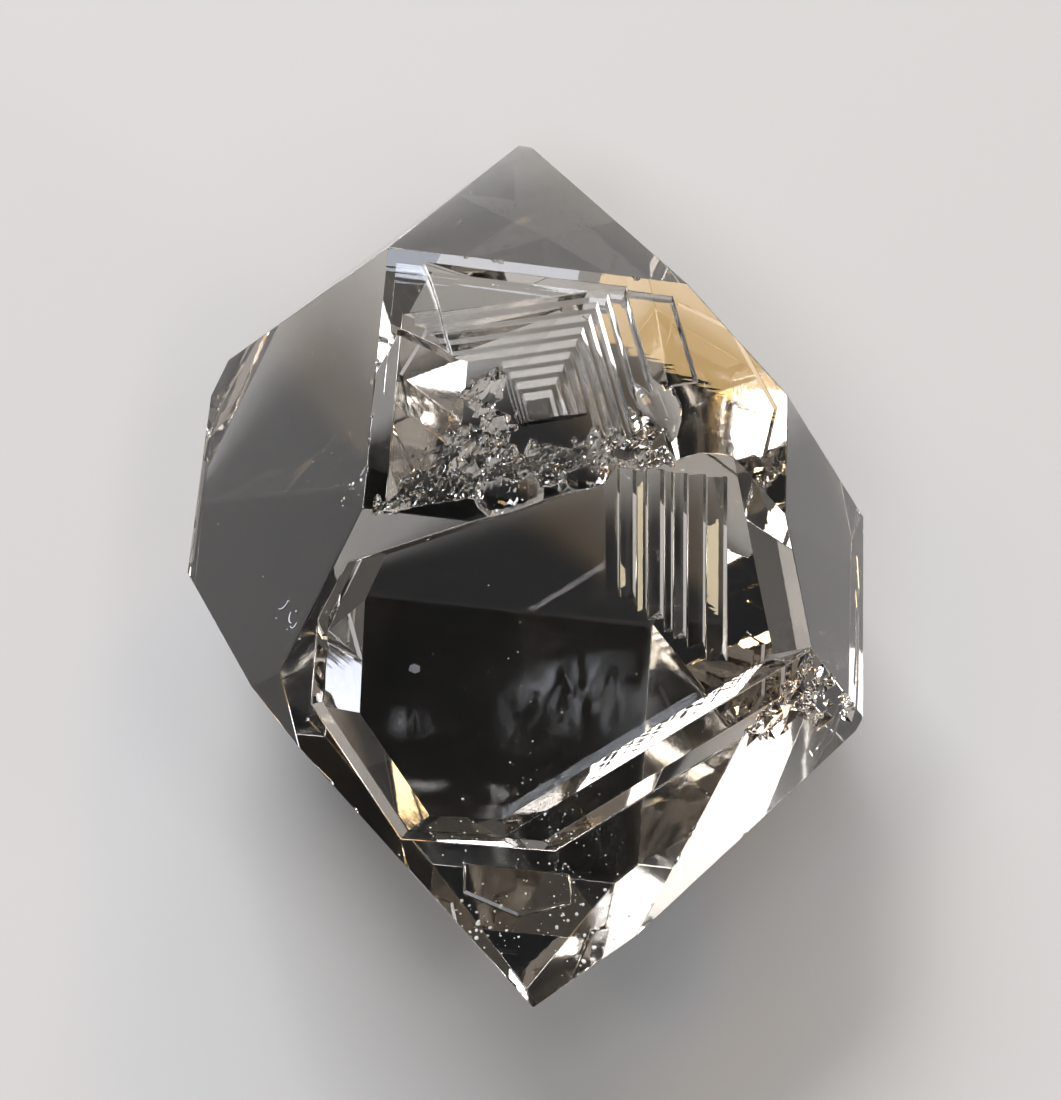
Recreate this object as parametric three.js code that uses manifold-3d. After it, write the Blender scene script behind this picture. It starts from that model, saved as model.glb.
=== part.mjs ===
// A Herkimer diamond: one clear quartz crystal with a point at both ends, lying on a prism face.
//
// Quartz grows as a six-sided prism closed at each end by six sloping faces, so the body is the
// space inside eighteen planes. Its long axis runs along Y and its widest prism face looks up.
// The top face is skeletal: it grew faster at its edges than in its middle, which left a stepped
// hopper, a terrace on the sloping face in front of it, and a thin wall between them that broke.
//
// Units are millimetres and +Z is up. Every place below is measured from the crystal's centre,
// and the finished solid is then moved so that its origin is under it, on the resting face.

import * as THREE from 'three';
import { mergeVertices } from 'three/addons/utils/BufferGeometryUtils.js';
import Module from 'manifold-3d';

// ---------------------------------------------------------------- driving dimensions

const DEG = Math.PI / 180;

// Angle between the long axis and the normal of a sloping end face, the same on all quartz.
const END_FACE_TILT = 51.79 * DEG;

// Distance from the centre to each face. The list goes round the long axis, one every 60 degrees:
// top, upper left, lower left, base, lower right, upper right, as seen from the near end.
const PRISM_DISTANCE = [5.30, 5.94, 6.48, 6.27, 5.94, 6.48];
const NEAR_END_DISTANCE = [5.65, 7.80, 5.98, 7.60, 7.01, 7.29];
const FAR_END_DISTANCE = [6.33, 6.84, 6.86, 6.30, 6.30, 5.82];

// Hopper in the top face. Its steps are turned from the long axis, and each goes deeper.
const HOPPER_TURN = 17 * DEG;
const HOPPER_RIM_FAR = 3.26;
const HOPPER_RIM_LEFT = -3.60;
const HOPPER_NEAR = -1.30;
// Each row is one step: its depth, then how far its right and far walls stand from the centre.
const HOPPER_STEPS = [
  { depth: 0.34, right: 1.96, far: 4.20 },
  { depth: 0.56, right: 1.66, far: 3.00 },
  { depth: 0.80, right: 1.46, far: 2.86 },
  { depth: 1.06, right: 1.32, far: 2.74 },
  { depth: 1.34, right: 1.18, far: 2.62 },
  { depth: 1.64, right: 1.06, far: 2.50 },
];
// The last steps form a narrow shaft in the far right corner of the floor.
const SHAFT_STEPS = [
  { depth: 1.94, right: 0.94, far: 2.40, left: -0.52, near: 0.95 },
  { depth: 2.24, right: 0.82, far: 2.29, left: -0.36, near: 1.12 },
  { depth: 2.56, right: 0.70, far: 2.18, left: -0.20, near: 1.28 },
  { depth: 2.90, right: 0.58, far: 2.07, left: -0.04, near: 1.44 },
];
// The left wall of the hopper is one flat slope that starts at this line and depth.
const SLOPE_EDGE_LEFT = -3.36;
const SLOPE_EDGE_DEPTH = 0.34;
const SLOPE_ANGLE = 42 * DEG;
// A shallow panel lies right of the hopper, in the same turned directions.
const PANEL = { depth: 0.14, right: 2.85, far: 3.16, near: 0.45, left: 0.60 };

// Terrace in the near top face: an outer step, then a floor that runs out through the top face.
// Each side is a line on the face, given by a point, the direction it runs in and its slope.
const TERRACE_DEPTH_OUTER = 0.45;
const TERRACE_DEPTH_FLOOR = 1.28;
const TERRACE_OUTER_SIDES = [
  { at: [-3.94, 0.36], heading: 70, slope: 66 },
  { at: [-4.32, -2.62], heading: 92, slope: 66 },
  { at: [-2.30, -5.08], heading: 128.8, slope: 74 },
  { at: [0.77, -5.02], heading: 181.5, slope: 86 },
  { at: [4.18, -2.25], heading: 219, slope: 72 },
];
const TERRACE_FLOOR_SIDES = [
  { at: [-3.66, 0.36], heading: 72, slope: 60 },
  { at: [-4.06, -2.68], heading: 94, slope: 50 },
  { at: [-2.13, -5.04], heading: 129.6, slope: 66 },
  { at: [0.62, -4.905], heading: 183, slope: 87 },
  { at: [3.74, -1.77], heading: 219, slope: 86 },
];
// The broken wall between terrace and hopper, and the terrace's right side, which is a plane
// parallel to the neighbouring end face.
const BROKEN_WALL = { at: [-3.85, 0.36], heading: 25, slope: 74 };
const TERRACE_RIGHT_DISTANCE = 0.01;
// Long sawtooth grooves on the right part of the terrace floor, running up the face.
const GROOVE_EDGES = [1.22, 1.50, 1.84, 2.06, 2.40, 2.58, 2.86, 3.24, 3.66];
const GROOVE_DEPTHS = [0.10, 0.18, 0.09, 0.20, 0.11, 0.18, 0.14, 0.16];
const GROOVE_HEADING = 98;
const GROOVE_HEAD = 2.58;
const GROOVE_STEEP_SLOPE = 72;
// The grooves' feet lie on a line that falls to the right.
const GROOVE_FOOT = 0.05;
const GROOVE_FOOT_FALL = 0.62;
const GROOVE_FOOT_SLOPE = 56;

// Broken ground inside the hopper, between its floor and the wall: a slope made of large and
// small broken pieces. Its crest is at the wall, its toe wanders across the hopper's floor, and
// past the toe it drops away under the floor. A low heap lies under the far steps.
const RUBBLE = { left: -4.6, right: 2.1, near: -1.42, far: 3.0, cell: 0.125 };
const RUBBLE_CREST = { depth: 0.14, width: 0.15, roughness: 0.35 };
const RUBBLE_TOE_DEPTH = 1.85;
const RUBBLE_RUN_OUT = 1.4;
const RUBBLE_TOE_LINE = [
  [-4.6, 0.4], [-3.2, 1.0], [-1.9, 1.8], [-1.0, 1.3], [-0.2, 0.8], [0.4, 0.6], [1.2, 1.1], [2.1, 1.3],
];
const RUBBLE_HEAP = { at: [-0.80, 2.00], radius: 0.55, height: 1.70 };
const CHUNKS = { size: 0.52, height: 0.24, tilt: 0.85 };
const SPLINTERS = { size: 0.22, height: 0.07, tilt: 0.8 };
// How far a corner of the rubble's grid strays from its place, as a share of a cell.
const RUBBLE_STRAY = 0.36;

// Shell-shaped breaks: centre, radius. Each one takes a smooth bowl out of what it meets.
const SCOOPS = [
  { at: [1.12, 0.42, 6.05], radius: 1.40 },
  { at: [-0.10, 0.30, 5.05], radius: 0.84 },
  { at: [-0.45, 1.35, 4.35], radius: 0.72 },
  { at: [0.62, -0.95, 5.45], radius: 0.72 },
  { at: [-1.05, -1.65, 5.62], radius: 0.78 },
];
const SCOOP_DETAIL = 28;

// A tongue of the top face that was left standing over the hopper's far left corner.
const TONGUE_OUTLINE = [
  [-3.75, 3.60], [-3.08, 3.30], [-2.86, 2.84], [-2.66, 2.28], [-2.50, 1.72], [-2.30, 1.16],
  [-2.74, 1.40], [-3.75, 1.78],
];
const TONGUE_THICKNESS = 0.30;

// Shallow growth plates on the faces that look sideways and down. Each is sunk into one face as
// a six-sided tray, given by its half length and half width.
const PLATES = [
  { face: [2, 0], at: [0.6, 0.4], length: 2.16, width: 1.53, depth: 0.08 },
  { face: [4, 0], at: [-0.9, -0.3], length: 1.98, width: 1.35, depth: 0.07 },
  { face: [4, 0], at: [-0.7, -0.2], length: 1.08, width: 0.72, depth: 0.13 },
  { face: [3, -1], at: [0.1, 0.6], length: 1.53, width: 1.17, depth: 0.06 },
  { face: [4, 1], at: [0.3, -0.4], length: 1.80, width: 1.26, depth: 0.07 },
  { face: [2, 1], at: [-0.2, 0.2], length: 1.44, width: 0.99, depth: 0.07 },
];
const PLATE_SIDE_SLOPE = 55;

// Small bruises along the edges.
const BRUISE_SIZES = [0.05, 0.13];
const BRUISE_DETAIL = 8;

// Growth pits, three-sided, in a corner patch of the near upper right face. The patch reaches
// this far down the edge with the near top face, and this far along the other edge.
const PITS = { count: 80, sizes: [0.12, 0.32], down: 2.50, along: 4.20, slope: 48 };

// A solid that cuts a face starts this far outside it, and shared cuts overlap by this little.
const CLEAR = 1;
const OVERLAP = 0.02;
const TERRACE_ABOVE = 3;
const GROOVE_ABOVE = 0.4;

// ---------------------------------------------------------------- helpers

const wasm = await Module();
wasm.setup();

// Random numbers that come out the same on every run.
let seed = 20260;
function random(low = 0, high = 1) {
  seed = (seed * 1664525 + 1013904223) % 4294967296;
  return low + (high - low) * (seed / 4294967296);
}

// A plane is its outward normal and its distance from the crystal's centre.
function plane(normal, distance) {
  return { normal: normal.clone().normalize(), distance };
}

function planeThrough(normal, point) {
  const unit = normal.clone().normalize();
  return { normal: unit, distance: unit.dot(point) };
}

// Normal of face number `index` round the long axis. `lean` is 0 on the prism, -1 on the near
// end and +1 on the far end.
function faceNormal(index, lean) {
  const turn = index * 60 * DEG;
  const across = lean === 0 ? 1 : Math.sin(END_FACE_TILT);
  const along = lean * Math.cos(END_FACE_TILT);
  return new THREE.Vector3(-Math.sin(turn) * across, along, Math.cos(turn) * across);
}

function manifoldFrom(positions, triangles) {
  const mesh = new wasm.Mesh({
    numProp: 3,
    vertProperties: new Float32Array(positions.flat()),
    triVerts: new Uint32Array(triangles.flat()),
  });
  return new wasm.Manifold(mesh);
}

// The point where three planes meet, or null where two of them are parallel.
function meetingPoint(a, b, c) {
  const matrix = new THREE.Matrix3().set(
    a.normal.x, a.normal.y, a.normal.z,
    b.normal.x, b.normal.y, b.normal.z,
    c.normal.x, c.normal.y, c.normal.z,
  );
  if (Math.abs(matrix.determinant()) < 1e-6) return null;
  return new THREE.Vector3(a.distance, b.distance, c.distance).applyMatrix3(matrix.invert());
}

// The convex solid inside a set of planes: its corners are the meeting points of three planes
// that lie inside all the others, and each plane's corners, put in order, are one face.
function solidInside(planes) {
  const corners = [];
  for (let i = 0; i < planes.length; i += 1) {
    for (let j = i + 1; j < planes.length; j += 1) {
      for (let k = j + 1; k < planes.length; k += 1) {
        const point = meetingPoint(planes[i], planes[j], planes[k]);
        if (!point) continue;
        const inside = planes.every((p) => p.normal.dot(point) < p.distance + 1e-6);
        const known = corners.some((c) => c.distanceTo(point) < 1e-5);
        if (inside && !known) corners.push(point);
      }
    }
  }
  const triangles = [];
  for (const { normal, distance } of planes) {
    const ring = corners
      .map((corner, index) => ({ corner, index }))
      .filter(({ corner }) => Math.abs(normal.dot(corner) - distance) < 1e-5);
    if (ring.length < 3) continue;
    const middle = new THREE.Vector3();
    ring.forEach(({ corner }) => middle.addScaledVector(corner, 1 / ring.length));
    const first = ring[0].corner.clone().sub(middle).normalize();
    const second = normal.clone().cross(first);
    const angle = ({ corner }) => {
      const arm = corner.clone().sub(middle);
      return Math.atan2(arm.dot(second), arm.dot(first));
    };
    ring.sort((a, b) => angle(a) - angle(b));
    for (let n = 1; n + 1 < ring.length; n += 1) {
      triangles.push([ring[0].index, ring[n].index, ring[n + 1].index]);
    }
  }
  return manifoldFrom(corners.map((corner) => corner.toArray()), triangles);
}

// A closed ball, or a squashed one, from a sphere geometry with its seam closed.
function ball(centre, radius, detail) {
  const sphere = new THREE.SphereGeometry(radius, detail, Math.round(detail / 2));
  sphere.deleteAttribute('normal');
  sphere.deleteAttribute('uv');
  sphere.rotateX(random(0, 3));
  sphere.translate(...centre);
  const merged = mergeVertices(sphere, 1e-5);
  const index = Array.from(merged.index.array);
  const triangles = [];
  for (let n = 0; n < index.length; n += 3) {
    const [a, b, c] = index.slice(n, n + 3);
    if (a !== b && b !== c && c !== a) triangles.push([a, b, c]);
  }
  return manifoldFrom([Array.from(merged.attributes.position.array)], triangles);
}

// ---------------------------------------------------------------- the grown form

function crystalPlanes() {
  const planes = [];
  for (let index = 0; index < 6; index += 1) {
    planes.push(plane(faceNormal(index, 0), PRISM_DISTANCE[index]));
    planes.push(plane(faceNormal(index, -1), NEAR_END_DISTANCE[index]));
    planes.push(plane(faceNormal(index, 1), FAR_END_DISTANCE[index]));
  }
  return planes;
}

// ---------------------------------------------------------------- the hopper

const TOP = PRISM_DISTANCE[0];
const ABOVE = TOP + CLEAR;
const UP = new THREE.Vector3(0, 0, 1);
const DOWN = new THREE.Vector3(0, 0, -1);
// The hopper's own two directions: along its far wall, and across it.
const ALONG_WALL = new THREE.Vector3(Math.cos(HOPPER_TURN), Math.sin(HOPPER_TURN), 0);
const ACROSS_WALL = new THREE.Vector3(-Math.sin(HOPPER_TURN), Math.cos(HOPPER_TURN), 0);

function slopePlane() {
  const start = new THREE.Vector3(SLOPE_EDGE_LEFT, 0, TOP - SLOPE_EDGE_DEPTH);
  const normal = new THREE.Vector3(-Math.sin(SLOPE_ANGLE), 0, -Math.cos(SLOPE_ANGLE));
  return planeThrough(normal, start);
}

// One step of the hopper: everything above its tread and inside its walls.
function hopperStep({ depth, right, far, left, near = HOPPER_NEAR }) {
  const planes = [
    plane(UP, ABOVE),
    plane(DOWN, depth - TOP),
    plane(ALONG_WALL, right),
    plane(ACROSS_WALL, far),
    plane(ACROSS_WALL.clone().negate(), -near),
    plane(new THREE.Vector3(0, 1, 0), HOPPER_RIM_FAR),
  ];
  if (left === undefined) {
    planes.push(plane(new THREE.Vector3(-1, 0, 0), -HOPPER_RIM_LEFT));
  } else {
    planes.push(plane(ALONG_WALL.clone().negate(), -left));
  }
  if (depth > SLOPE_EDGE_DEPTH) planes.push(slopePlane());
  return solidInside(planes);
}

function panelCut() {
  const { depth, right, near, left } = PANEL;
  return solidInside([
    plane(UP, ABOVE),
    plane(DOWN, depth - TOP),
    plane(ALONG_WALL, right),
    plane(ALONG_WALL.clone().negate(), -left),
    plane(ACROSS_WALL.clone().negate(), -near),
    plane(new THREE.Vector3(0, 1, 0), PANEL.far),
  ]);
}

// Seeds of broken pieces on a jittered grid. Each has its own height and its own tilt.
function brokenPieces({ size, height, tilt }) {
  const pieces = [];
  for (let x = RUBBLE.left - size; x < RUBBLE.right + size; x += size) {
    for (let y = RUBBLE.near - size; y < RUBBLE.far + size; y += size) {
      pieces.push({
        x: x + random(0, size),
        y: y + random(0, size),
        height: random(-height, height),
        tiltX: random(-tilt, tilt),
        tiltY: random(-tilt, tilt),
      });
    }
  }
  return (x, y) => {
    let best = pieces[0];
    for (const piece of pieces) {
      if (Math.hypot(piece.x - x, piece.y - y) < Math.hypot(best.x - x, best.y - y)) best = piece;
    }
    return best.height + best.tiltX * (x - best.x) + best.tiltY * (y - best.y);
  };
}

// How far across the hopper the rubble's toe lies, read off its line between two points.
function rubbleToe(x) {
  const next = Math.max(1, RUBBLE_TOE_LINE.findIndex(([at]) => at >= x));
  const [[x0, y0], [x1, y1]] = RUBBLE_TOE_LINE.slice(next - 1, next + 1);
  return THREE.MathUtils.mapLinear(x, x0, x1, y0, y1);
}

// Depth of the rubble under the top face. `x` runs along the hopper's far wall, `y` across it.
function rubbleDepth(x, y, pieces) {
  const toe = rubbleToe(x);
  const fall = THREE.MathUtils.smoothstep(y, RUBBLE.near + RUBBLE_CREST.width, toe);
  const runOut = RUBBLE_RUN_OUT * Math.max(0, y - toe);
  const depth = THREE.MathUtils.lerp(RUBBLE_CREST.depth, RUBBLE_TOE_DEPTH, fall) + runOut;
  const share = THREE.MathUtils.lerp(RUBBLE_CREST.roughness, 1, Math.sqrt(fall));
  const rough = pieces.reduce((sum, piece) => sum + piece(x, y), 0);
  const reach = Math.hypot(x - RUBBLE_HEAP.at[0], y - RUBBLE_HEAP.at[1]) / RUBBLE_HEAP.radius;
  const heap = RUBBLE_HEAP.height * Math.exp(-reach * reach);
  return Math.max(depth - heap - share * rough, OVERLAP);
}

// The rubble is a grid with a flat base under the hopper's floor and the rough slope on top.
function rubbleMound() {
  const pieces = [brokenPieces(CHUNKS), brokenPieces(SPLINTERS)];
  const columns = Math.round((RUBBLE.right - RUBBLE.left) / RUBBLE.cell);
  const rows = Math.round((RUBBLE.far - RUBBLE.near) / RUBBLE.cell);
  const deepest = SHAFT_STEPS[SHAFT_STEPS.length - 1].depth;
  const stray = RUBBLE_STRAY * RUBBLE.cell;
  const positions = [];
  for (const layer of ['base', 'rough']) {
    for (let row = 0; row <= rows; row += 1) {
      for (let column = 0; column <= columns; column += 1) {
        const x = RUBBLE.left + column * RUBBLE.cell + random(-stray, stray);
        const y = RUBBLE.near + row * RUBBLE.cell + random(-stray, stray);
        const base = deepest + CLEAR;
        const depth = layer === 'base' ? base : Math.min(rubbleDepth(x, y, pieces), base - OVERLAP);
        const point = new THREE.Vector3(0, 0, TOP - depth);
        point.addScaledVector(ALONG_WALL, x).addScaledVector(ACROSS_WALL, y);
        positions.push(point.toArray());
      }
    }
  }
  const perLayer = (rows + 1) * (columns + 1);
  const at = (row, column, layer) => layer * perLayer + row * (columns + 1) + column;
  const triangles = [];
  for (let row = 0; row < rows; row += 1) {
    for (let column = 0; column < columns; column += 1) {
      for (const layer of [0, 1]) {
        const a = at(row, column, layer);
        const b = at(row, column + 1, layer);
        const c = at(row + 1, column + 1, layer);
        const d = at(row + 1, column, layer);
        if (layer === 1) triangles.push([a, b, c], [a, c, d]);
        else triangles.push([a, c, b], [a, d, c]);
      }
    }
  }
  const wall = (r0, c0, r1, c1) => {
    const [a, b] = [at(r0, c0, 0), at(r1, c1, 0)];
    const [c, d] = [at(r1, c1, 1), at(r0, c0, 1)];
    triangles.push([a, b, c], [a, c, d]);
  };
  for (let column = 0; column < columns; column += 1) {
    wall(0, column, 0, column + 1);
    wall(rows, column + 1, rows, column);
  }
  for (let row = 0; row < rows; row += 1) {
    wall(row + 1, 0, row, 0);
    wall(row, columns, row + 1, columns);
  }
  return manifoldFrom(positions, triangles);
}

// The tongue is a flat flake with the outline above.
function tongue() {
  const outline = new THREE.Shape(TONGUE_OUTLINE.map(([x, y]) => new THREE.Vector2(x, y)));
  const flake = new THREE.ExtrudeGeometry(outline, {
    depth: TONGUE_THICKNESS + CLEAR,
    bevelEnabled: false,
    curveSegments: 1,
  });
  flake.translate(0, 0, TOP - TONGUE_THICKNESS);
  flake.deleteAttribute('normal');
  flake.deleteAttribute('uv');
  const merged = mergeVertices(flake, 1e-5);
  const triangles = [Array.from(merged.index.array)];
  return manifoldFrom([Array.from(merged.attributes.position.array)], triangles);
}

function hopperCut() {
  let cut = panelCut();
  for (const step of [...HOPPER_STEPS, ...SHAFT_STEPS]) cut = cut.add(hopperStep(step));
  cut = cut.subtract(rubbleMound()).subtract(tongue());
  for (const { at, radius } of SCOOPS) cut = cut.add(ball(at, radius, SCOOP_DETAIL));
  return cut;
}

// ---------------------------------------------------------------- the terrace

const NEAR_FACE = faceNormal(0, -1);
const NEAR_FACE_DISTANCE = NEAR_END_DISTANCE[0];
// Directions on the near top face: right, and straight up the slope.
const FACE_RIGHT = new THREE.Vector3(1, 0, 0);
const FACE_UPHILL = NEAR_FACE.clone().cross(FACE_RIGHT);

function pointOnFace(right, uphill, depth = 0) {
  return new THREE.Vector3()
    .addScaledVector(NEAR_FACE, NEAR_FACE_DISTANCE - depth)
    .addScaledVector(FACE_RIGHT, right)
    .addScaledVector(FACE_UPHILL, uphill);
}

// Direction on the near top face, turned from its right.
function faceHeading(degrees) {
  return new THREE.Vector3()
    .addScaledVector(FACE_RIGHT, Math.cos(degrees * DEG))
    .addScaledVector(FACE_UPHILL, Math.sin(degrees * DEG));
}

// A wall that falls away from `outward` into a face at `slope` degrees, through `point`.
function fallingWall(normal, outward, slope, point) {
  const lean = outward.clone()
    .multiplyScalar(Math.sin(slope * DEG))
    .addScaledVector(normal, -Math.cos(slope * DEG));
  return planeThrough(lean, point);
}

// A side of the terrace runs along `heading` on the face, with the terrace on its right.
function terraceSide({ at, heading, slope }, depth = 0) {
  return fallingWall(NEAR_FACE, faceHeading(heading + 90), slope, pointOnFace(...at, depth));
}

function terraceStep(depth, sides, sideDepth, topDepth) {
  return solidInside([
    plane(NEAR_FACE, NEAR_FACE_DISTANCE - topDepth),
    plane(NEAR_FACE.clone().negate(), depth - NEAR_FACE_DISTANCE),
    plane(faceNormal(1, -1).negate(), -TERRACE_RIGHT_DISTANCE),
    terraceSide(BROKEN_WALL),
    ...sides.map((side) => terraceSide(side, sideDepth)),
  ]);
}

// One sawtooth groove: a long gentle side and a short steep one that meet at its bottom.
function groove(left, right, depth) {
  const floor = TERRACE_DEPTH_FLOOR;
  const run = faceHeading(GROOVE_HEADING);
  const across = run.clone().cross(NEAR_FACE);
  const steepWidth = depth / Math.tan(GROOVE_STEEP_SLOPE * DEG);
  const gentleSlope = Math.atan2(depth, right - left - steepWidth) / DEG;
  const footUphill = GROOVE_FOOT - GROOVE_FOOT_FALL * (left - GROOVE_EDGES[0]);
  const wall = (outward, slope, point) => fallingWall(NEAR_FACE, outward, slope, point);
  return solidInside([
    plane(NEAR_FACE, NEAR_FACE_DISTANCE - floor + GROOVE_ABOVE),
    wall(across.clone().negate(), gentleSlope, pointOnFace(left, 0, floor)),
    wall(across, GROOVE_STEEP_SLOPE, pointOnFace(right, 0, floor)),
    wall(run.clone().negate(), GROOVE_FOOT_SLOPE, pointOnFace(left, footUphill, floor)),
    planeThrough(run, pointOnFace(left, GROOVE_HEAD, floor)),
  ]);
}

function terraceCut() {
  const floorTop = TERRACE_DEPTH_OUTER - OVERLAP;
  let cut = terraceStep(TERRACE_DEPTH_OUTER, TERRACE_OUTER_SIDES, 0, -TERRACE_ABOVE);
  cut = cut.add(
    terraceStep(TERRACE_DEPTH_FLOOR, TERRACE_FLOOR_SIDES, TERRACE_DEPTH_OUTER, floorTop),
  );
  GROOVE_DEPTHS.forEach((depth, index) => {
    cut = cut.add(groove(GROOVE_EDGES[index], GROOVE_EDGES[index + 1], depth));
  });
  return cut;
}

// ---------------------------------------------------------------- plates, wear and pits

const DISTANCE_BY_LEAN = [NEAR_END_DISTANCE, PRISM_DISTANCE, FAR_END_DISTANCE];

function facePlane(index, lean) {
  return plane(faceNormal(index, lean), DISTANCE_BY_LEAN[lean + 1][index]);
}

// A plate is a tray whose six sides lie round an ellipse on the face.
function plate({ face, at, length, width, depth }) {
  const { normal, distance } = facePlane(...face);
  const along = new THREE.Vector3(0, 1, 0).projectOnPlane(normal).normalize();
  const across = normal.clone().cross(along);
  const middle = normal.clone().multiplyScalar(distance)
    .addScaledVector(along, at[0])
    .addScaledVector(across, at[1]);
  const planes = [
    plane(normal, distance + OVERLAP),
    plane(normal.clone().negate(), depth - distance),
  ];
  for (let side = 0; side < 6; side += 1) {
    const angle = (side * 60 + 30) * DEG;
    const outward = new THREE.Vector3()
      .addScaledVector(along, Math.cos(angle) / length)
      .addScaledVector(across, Math.sin(angle) / width);
    const reach = 1 / outward.length();
    outward.normalize();
    const edge = middle.clone().addScaledVector(outward, reach);
    planes.push(fallingWall(normal, outward, PLATE_SIDE_SLOPE, edge));
  }
  return solidInside(planes);
}

// The line where two faces of the crystal meet, trimmed to a stretch between two other faces.
function edgePoints(a, b, from, to, count) {
  const start = meetingPoint(a, b, from);
  const end = meetingPoint(a, b, to);
  return Array.from({ length: count }, () => start.clone().lerp(end, random(0.04, 0.96)));
}

function bruises() {
  const edges = [
    [facePlane(0, -1), facePlane(5, -1), facePlane(5, 0), facePlane(4, -1), 9],
    [facePlane(0, -1), facePlane(4, -1), facePlane(5, -1), facePlane(2, -1), 5],
    [facePlane(0, -1), facePlane(2, -1), facePlane(1, -1), facePlane(4, -1), 6],
    [facePlane(5, -1), facePlane(4, -1), facePlane(0, -1), facePlane(5, 0), 4],
    [facePlane(0, 0), facePlane(1, 0), facePlane(0, 1), facePlane(0, -1), 5],
    [facePlane(0, 0), facePlane(0, 1), facePlane(1, 0), facePlane(5, 1), 4],
    [facePlane(2, 0), facePlane(2, -1), facePlane(1, 0), facePlane(3, 0), 3],
    [facePlane(4, 0), facePlane(5, 0), facePlane(4, -1), facePlane(5, 1), 3],
  ];
  const cuts = [];
  for (const [a, b, from, to, count] of edges) {
    const outward = a.normal.clone().add(b.normal).normalize();
    for (const point of edgePoints(a, b, from, to, count)) {
      const size = random(...BRUISE_SIZES);
      const centre = point.addScaledVector(outward, size / 2);
      cuts.push(ball(centre.toArray(), size, BRUISE_DETAIL));
    }
  }
  return cuts;
}

// Growth pits are upside-down pyramids with three sides, scattered over a triangular patch.
function pits() {
  const face = facePlane(5, -1);
  const corner = meetingPoint(face, facePlane(0, -1), facePlane(5, 0));
  const down = NEAR_FACE.clone().cross(face.normal).normalize().negate();
  const along = faceNormal(5, 0).cross(face.normal).normalize();
  const cuts = [];
  for (let n = 0; n < PITS.count; n += 1) {
    let [u, v] = [random(), random()];
    if (u + v > 1) [u, v] = [1 - u, 1 - v];
    const centre = corner.clone()
      .addScaledVector(down, u * PITS.down)
      .addScaledVector(along, v * PITS.along);
    const reach = random(...PITS.sizes) / 2;
    const turn = random(0, 120) * DEG;
    const planes = [plane(face.normal, face.distance + CLEAR)];
    for (let side = 0; side < 3; side += 1) {
      const outward = down.clone().applyAxisAngle(face.normal, turn + side * 120 * DEG);
      const edge = centre.clone().addScaledVector(outward, reach);
      planes.push(fallingWall(face.normal, outward, PITS.slope, edge));
    }
    cuts.push(solidInside(planes));
  }
  return cuts;
}

// ---------------------------------------------------------------- the finished crystal

// Cutting the wall down can set a splinter free. The crystal is the biggest body that is left.
function largestBody(solid) {
  return solid.decompose().reduce((a, b) => (b.volume() > a.volume() ? b : a));
}

function quartzGeometry() {
  let solid = solidInside(crystalPlanes());
  solid = solid.subtract(terraceCut()).subtract(hopperCut());
  for (const cut of [...PLATES.map(plate), ...bruises(), ...pits()]) solid = solid.subtract(cut);
  const mesh = largestBody(solid).getMesh();
  const geometry = new THREE.BufferGeometry();
  geometry.setAttribute('position', new THREE.BufferAttribute(mesh.vertProperties, 3));
  geometry.setIndex(new THREE.BufferAttribute(mesh.triVerts, 1));
  geometry.computeBoundingBox();
  const { min, max } = geometry.boundingBox;
  geometry.translate(-(min.x + max.x) / 2, -(min.y + max.y) / 2, -min.z);
  return geometry;
}

const quartz = new THREE.MeshStandardMaterial({ color: 0xe8ecf2, roughness: 0.03, metalness: 0 });

const crystal = new THREE.Mesh(quartzGeometry(), quartz);
crystal.name = 'quartz_crystal';

const specimen = new THREE.Group();
specimen.add(crystal);

export default specimen;
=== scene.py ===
# %% [markdown]
# # A Herkimer diamond
#
# A Herkimer diamond is a clear quartz crystal that grew free in a pocket of rock, so it has a
# point at both ends. This one lies on one of its long faces. Its top face is skeletal: the edges
# grew faster than the middle and left a stepped pit, the hopper, with a terrace in front of it.
#
# The shape comes from a finished model, the frame, and this notebook gives it its looks: the
# quartz itself, the dust on it and the flaws in it, and then a floor, a camera and the lights.
# Lengths are in metres, as everywhere in Blender, and `MM` turns millimetres into them.

import math

import bmesh
import bpy
import numpy as np
from mathutils import Matrix, Vector
from mathutils.bvhtree import BVHTree


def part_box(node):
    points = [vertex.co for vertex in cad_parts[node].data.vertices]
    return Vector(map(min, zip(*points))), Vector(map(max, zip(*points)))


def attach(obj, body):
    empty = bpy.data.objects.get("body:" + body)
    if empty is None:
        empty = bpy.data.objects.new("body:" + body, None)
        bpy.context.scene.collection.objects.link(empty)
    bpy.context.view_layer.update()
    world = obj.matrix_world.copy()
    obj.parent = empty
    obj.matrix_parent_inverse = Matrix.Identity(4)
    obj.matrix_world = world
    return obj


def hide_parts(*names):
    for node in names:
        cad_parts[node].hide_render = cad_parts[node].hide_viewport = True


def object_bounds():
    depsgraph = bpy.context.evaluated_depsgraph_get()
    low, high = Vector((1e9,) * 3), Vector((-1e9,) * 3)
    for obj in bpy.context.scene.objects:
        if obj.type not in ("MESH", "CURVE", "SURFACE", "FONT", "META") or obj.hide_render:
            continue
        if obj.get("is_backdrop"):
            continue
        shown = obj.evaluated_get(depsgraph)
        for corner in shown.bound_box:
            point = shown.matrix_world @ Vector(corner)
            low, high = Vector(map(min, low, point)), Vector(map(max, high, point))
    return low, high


MM = 0.001
NODE = "quartz_crystal"

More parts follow.
